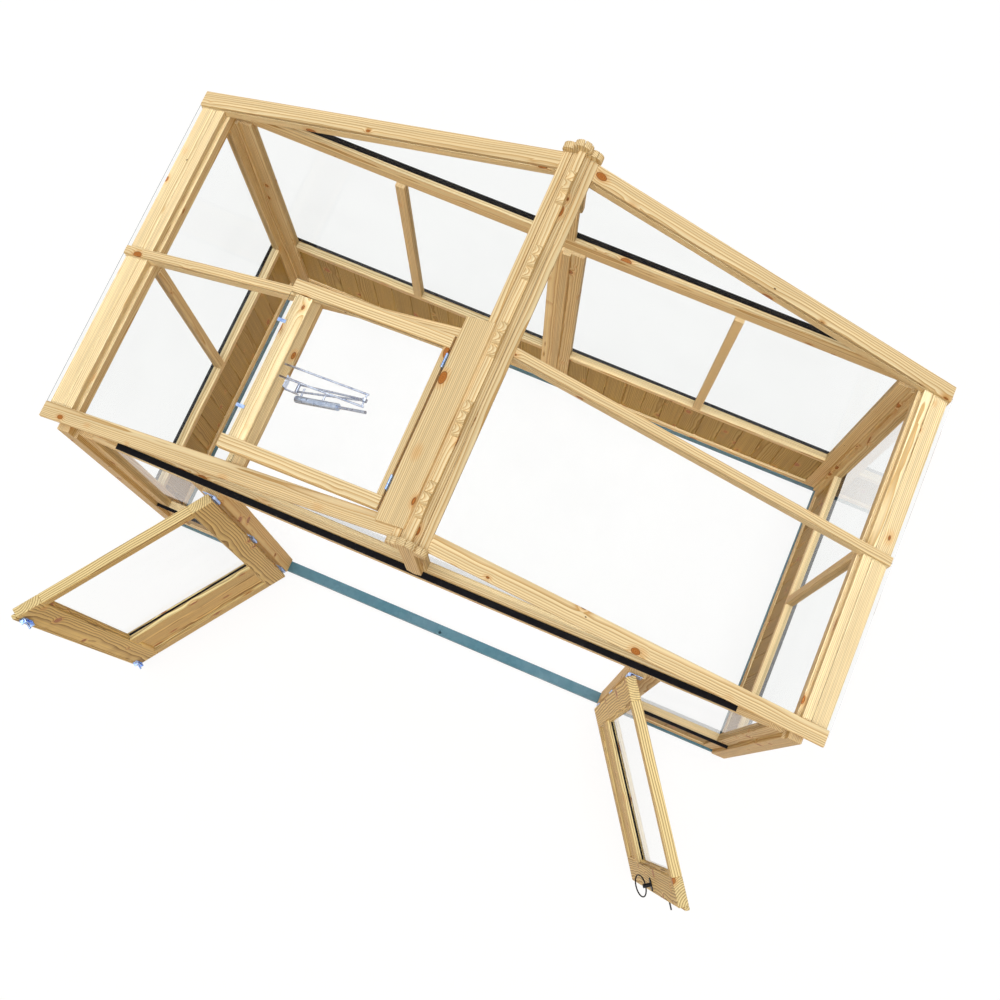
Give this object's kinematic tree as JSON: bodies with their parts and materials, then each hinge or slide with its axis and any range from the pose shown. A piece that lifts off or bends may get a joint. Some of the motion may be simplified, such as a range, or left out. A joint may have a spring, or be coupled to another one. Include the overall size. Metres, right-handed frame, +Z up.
{
  "type": "greenhouse",
  "caption": "Timber walk-in greenhouse with glazed walls and pitched glass roof, boarded lower walls, hinged double doors with bolts and ring handle, and a roof vent with opener.",
  "frame": {"origin": "on the ground under the middle of the front base rail, which is the doorway threshold", "axes": "+X along the long side to the right seen from the doors, +Y from the doors to the back wall, +Z up"},
  "size_m": [3.03, 2.1425, 2.4343],
  "materials": {
    "pine": "oiled softwood with visible grain and knots",
    "base_paint": "blue-green painted timber, matt",
    "black_strip": "black drip strip, matt",
    "glass": "clear horticultural glass",
    "zinc": "zinc plated steel",
    "black_iron": "black painted iron, satin",
    "dark_metal": "dark painted cylinder, satin"
  },
  "bodies": {
    "house": {"back_centre_post": "pine", "base_rails": "base_paint", "base_threshold": "base_paint", "corner_posts": "pine", "door_posts": "pine", "drip_strips": "black_strip", "eave_boards": "pine", "finial_back": "pine", "finial_front": "pine", "gable_frame_back": "pine", "gable_frame_front": "pine", "gable_glass": "glass", "hinges_fixed": "zinc", "opener_bracket": "zinc", "rafter_caps": "pine", "rafters": "pine", "ridge_beam": "pine", "ridge_caps": "pine", "ridge_crest": "pine", "roof_glass_left": "glass", "roof_glass_right": "glass", "tie_beam_back": "pine", "tie_beam_front": "pine", "vent_board": "pine", "vent_trimmers": "pine", "wall_boards_back": "pine", "wall_boards_front": "pine", "wall_boards_left": "pine", "wall_boards_right": "pine", "wall_frame_back": "pine", "wall_frame_front": "pine", "wall_frame_left": "pine", "wall_frame_right": "pine", "wall_glass_back": "glass", "wall_glass_front": "glass", "wall_glass_left": "glass", "wall_glass_right": "glass", "wall_plate_left": "pine", "wall_plate_right": "pine"},
    "left_door": {"left_door_frame": "pine", "left_door_panel": "pine", "left_door_glass": "glass", "left_door_hinges": "zinc", "left_bolt_plates": "zinc"},
    "left_top_bolt": {"left_top_bolt": "zinc"},
    "left_bottom_bolt": {"left_bottom_bolt": "zinc"},
    "right_door": {"right_door_frame": "pine", "right_door_panel": "pine", "right_door_glass": "glass", "right_door_hinges": "zinc", "right_rosettes": "black_iron"},
    "ring_handle": {"right_ring_handle": "black_iron"},
    "vent": {"vent_frame": "pine", "vent_glass": "glass", "vent_hinges": "zinc", "vent_bracket": "zinc"},
    "opener_lower": {"opener_lower_arm": "zinc", "opener_cylinder": "dark_metal"},
    "opener_piston": {"opener_piston": "zinc"},
    "opener_upper": {"opener_upper_arm": "zinc"}
  },
  "joints": [
    {"name": "left_door_hinge", "type": "hinge", "parent": "house", "child": "left_door", "pos_m": [-0.8055, -0.04, 0], "axis": [0, 0, -1], "range_deg": [-125, 3]},
    {"name": "right_door_hinge", "type": "hinge", "parent": "house", "child": "right_door", "pos_m": [0.8055, -0.04, 0], "axis": [0, 0, 1], "range_deg": [-125, 3]},
    {"name": "left_top_bolt_slide", "type": "slide", "parent": "left_door", "child": "left_top_bolt", "axis": [0, 0, 1], "range_m": [0, 0.03]},
    {"name": "left_bottom_bolt_slide", "type": "slide", "parent": "left_door", "child": "left_bottom_bolt", "axis": [0, 0, -1], "range_m": [0, 0.03]},
    {"name": "ring_handle_turn", "type": "hinge", "parent": "right_door", "child": "ring_handle", "pos_m": [1.244, -0.66624, 0.93], "axis": [-0.8192, -0.5736, 0], "range_deg": [-60, 60]},
    {"name": "vent_hinge", "type": "hinge", "parent": "house", "child": "vent", "pos_m": [-0.137, 0.355, 2.34595], "axis": [0, 1, 0], "range_deg": [-16.4, 13.6]},
    {"name": "opener_lower_pivot", "type": "hinge", "parent": "house", "child": "opener_lower", "pos_m": [-0.6051, 0.372, 2.04522], "axis": [0, 1, 0], "range_deg": [-5.2, 6.2]},
    {"name": "opener_upper_pivot", "type": "hinge", "parent": "vent", "child": "opener_upper", "pos_m": [-0.6688, 0.372, 2.20539], "axis": [0, 1, 0], "range_deg": [-4.9, 4.1]},
    {"name": "opener_piston_slide", "type": "slide", "parent": "opener_lower", "child": "opener_piston", "axis": [0.7912, 0, 0.6115], "range_m": [-0.0552, 0.0458]}
  ],
  "couplings": [
    {"joint": "opener_lower_pivot", "follows": "vent_hinge", "ratio": -0.369},
    {"joint": "opener_upper_pivot", "follows": "vent_hinge", "ratio": 0.289},
    {"joint": "opener_piston_slide", "follows": "vent_hinge", "m_per_rad": 0.192}
  ]
}
